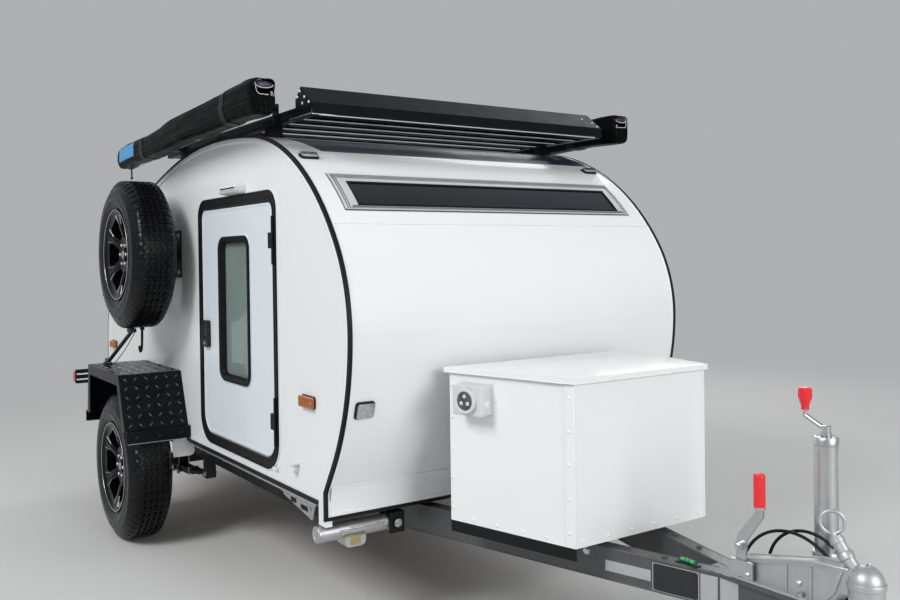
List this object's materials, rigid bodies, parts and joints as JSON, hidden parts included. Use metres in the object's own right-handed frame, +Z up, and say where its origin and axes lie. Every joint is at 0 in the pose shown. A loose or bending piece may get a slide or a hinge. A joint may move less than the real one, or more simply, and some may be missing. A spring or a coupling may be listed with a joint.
{
  "type": "teardrop camping trailer",
  "caption": "Small teardrop camping trailer with side doors, rear galley hatch, roof rack, rolled awnings, spare wheel, front toolbox and an A-frame drawbar with a jockey wheel.",
  "frame": {"origin": "on the ground, below the middle of the overall length and width", "axes": "+X forward to the coupling, +Y to the left side, +Z up"},
  "size_m": [4.3274, 2.088, 1.9495],
  "materials": {
    "body_white": "gloss",
    "door_white": "gloss",
    "trim_black": "satin",
    "frame_black": "satin",
    "rack_black": "satin",
    "guard_black": "satin",
    "gusset_white": "gloss",
    "drawbar_grey": "satin",
    "window_glass": "gloss",
    "window_frame": "satin",
    "tyre": "matte",
    "rim_black": "gloss",
    "steel_dark": "satin",
    "zinc": "satin",
    "coupling_silver": "satin",
    "amber": "gloss",
    "lamp_red": "gloss",
    "fitting_white": "gloss",
    "inlet_grey": "satin",
    "awning_black": "matte",
    "mattress_grey": "matte",
    "birch": "satin",
    "floor_ply": "satin",
    "jockey_rubber": "matte",
    "brake_steel": "satin",
    "lamp_clear": "gloss",
    "grip_red": "satin",
    "cable_black": "satin"
  },
  "bodies": {
    "trailer": {"side_wall_right": "body_white", "side_wall_left": "body_white", "roof_panel": "body_white", "rear_panel": "body_white", "hatch_hinge": "zinc", "floor_panel": "floor_ply", "bulkhead": "birch", "galley_unit": "birch", "mattress": "mattress_grey", "edge_trims": "trim_black", "window_frame": "window_frame", "window_pane": "window_glass", "marker_lamps": "amber", "side_fittings": "fitting_white", "lamp_bar": "frame_black", "tail_lamps": "lamp_red", "door_rings": "trim_black", "mudguards": "guard_black", "guard_gussets": "gusset_white", "rim_spare": "rim_black", "tyre_spare": "tyre", "axle": "brake_steel", "leaf_springs": "steel_dark", "spare_carrier": "steel_dark", "chassis_frame": "frame_black", "drawbar": "drawbar_grey", "toolbox_body": "body_white", "power_inlet": "inlet_grey", "coupling": "coupling_silver", "handbrake_lever": "zinc", "jockey_tube": "zinc", "roof_rack": "rack_black", "rack_fairing": "rack_black", "awnings": "awning_black", "corner_lamps": "lamp_clear", "hand_grips": "grip_red", "brake_cables": "cable_black", "front_brackets": "zinc", "spare_stay": "steel_dark", "rack_slats": "rack_black"},
    "door_right": {"door_leaf_right": "door_white", "door_pane_right": "window_glass", "door_fittings_right": "trim_black"},
    "door_left": {"door_leaf_left": "door_white", "door_pane_left": "window_glass", "door_fittings_left": "trim_black"},
    "hatch": {"hatch_leaf": "body_white"},
    "lid": {"toolbox_lid": "body_white"},
    "wheel_right": {"rim_right": "rim_black", "tyre_right": "tyre"},
    "wheel_left": {"rim_left": "rim_black", "tyre_left": "tyre"},
    "jack_stem": {"jockey_stem": "zinc"},
    "jack_fork": {"jockey_fork": "zinc"},
    "jack_wheel": {"jockey_wheel": "jockey_rubber"},
    "steady_leg_right": {"steady_right": "zinc"},
    "steady_leg_left": {"steady_left": "zinc"}
  },
  "joints": [
    {"name": "wheel_right_spin", "type": "hinge", "parent": "trailer", "child": "wheel_right", "pos_m": [-0.98931, 0, 0.34], "axis": [0, 1, 0], "continuous": true},
    {"name": "wheel_left_spin", "type": "hinge", "parent": "trailer", "child": "wheel_left", "pos_m": [-0.98931, 0, 0.34], "axis": [0, 1, 0], "continuous": true},
    {"name": "door_right_hinge", "type": "hinge", "parent": "trailer", "child": "door_right", "pos_m": [0.29369, -0.766, 1], "axis": [0, 0, 1], "range_deg": [0, 110]},
    {"name": "door_left_hinge", "type": "hinge", "parent": "trailer", "child": "door_left", "pos_m": [0.29369, 0.766, 1], "axis": [0, 0, -1], "range_deg": [0, 110]},
    {"name": "hatch_hinge", "type": "hinge", "parent": "trailer", "child": "hatch", "pos_m": [-1.26376, 0, 1.66515], "axis": [0, 1, 0], "range_deg": [0, 80]},
    {"name": "toolbox_lid_hinge", "type": "hinge", "parent": "trailer", "child": "lid", "pos_m": [0.89569, 0, 0.927], "axis": [0, -1, 0], "range_deg": [0, 80]},
    {"name": "jack_slide", "type": "slide", "parent": "trailer", "child": "jack_stem", "axis": [0, 0, 1], "range_m": [-0.15, 0.05]},
    {"name": "jack_swivel", "type": "hinge", "parent": "jack_stem", "child": "jack_fork", "pos_m": [1.93669, 0.12, 0.24], "axis": [0, 0, 1], "continuous": true},
    {"name": "jack_wheel_spin", "type": "hinge", "parent": "jack_fork", "child": "jack_wheel", "pos_m": [1.90669, 0.12, 0.1], "axis": [0, 1, 0], "continuous": true},
    {"name": "steady_right_fold", "type": "hinge", "parent": "trailer", "child": "steady_leg_right", "pos_m": [0.61869, -0.465, 0.372], "axis": [1, 0, 0], "range_deg": [0, 90]},
    {"name": "steady_left_fold", "type": "hinge", "parent": "trailer", "child": "steady_leg_left", "pos_m": [0.61869, 0.465, 0.372], "axis": [-1, 0, 0], "range_deg": [0, 90]}
  ]
}
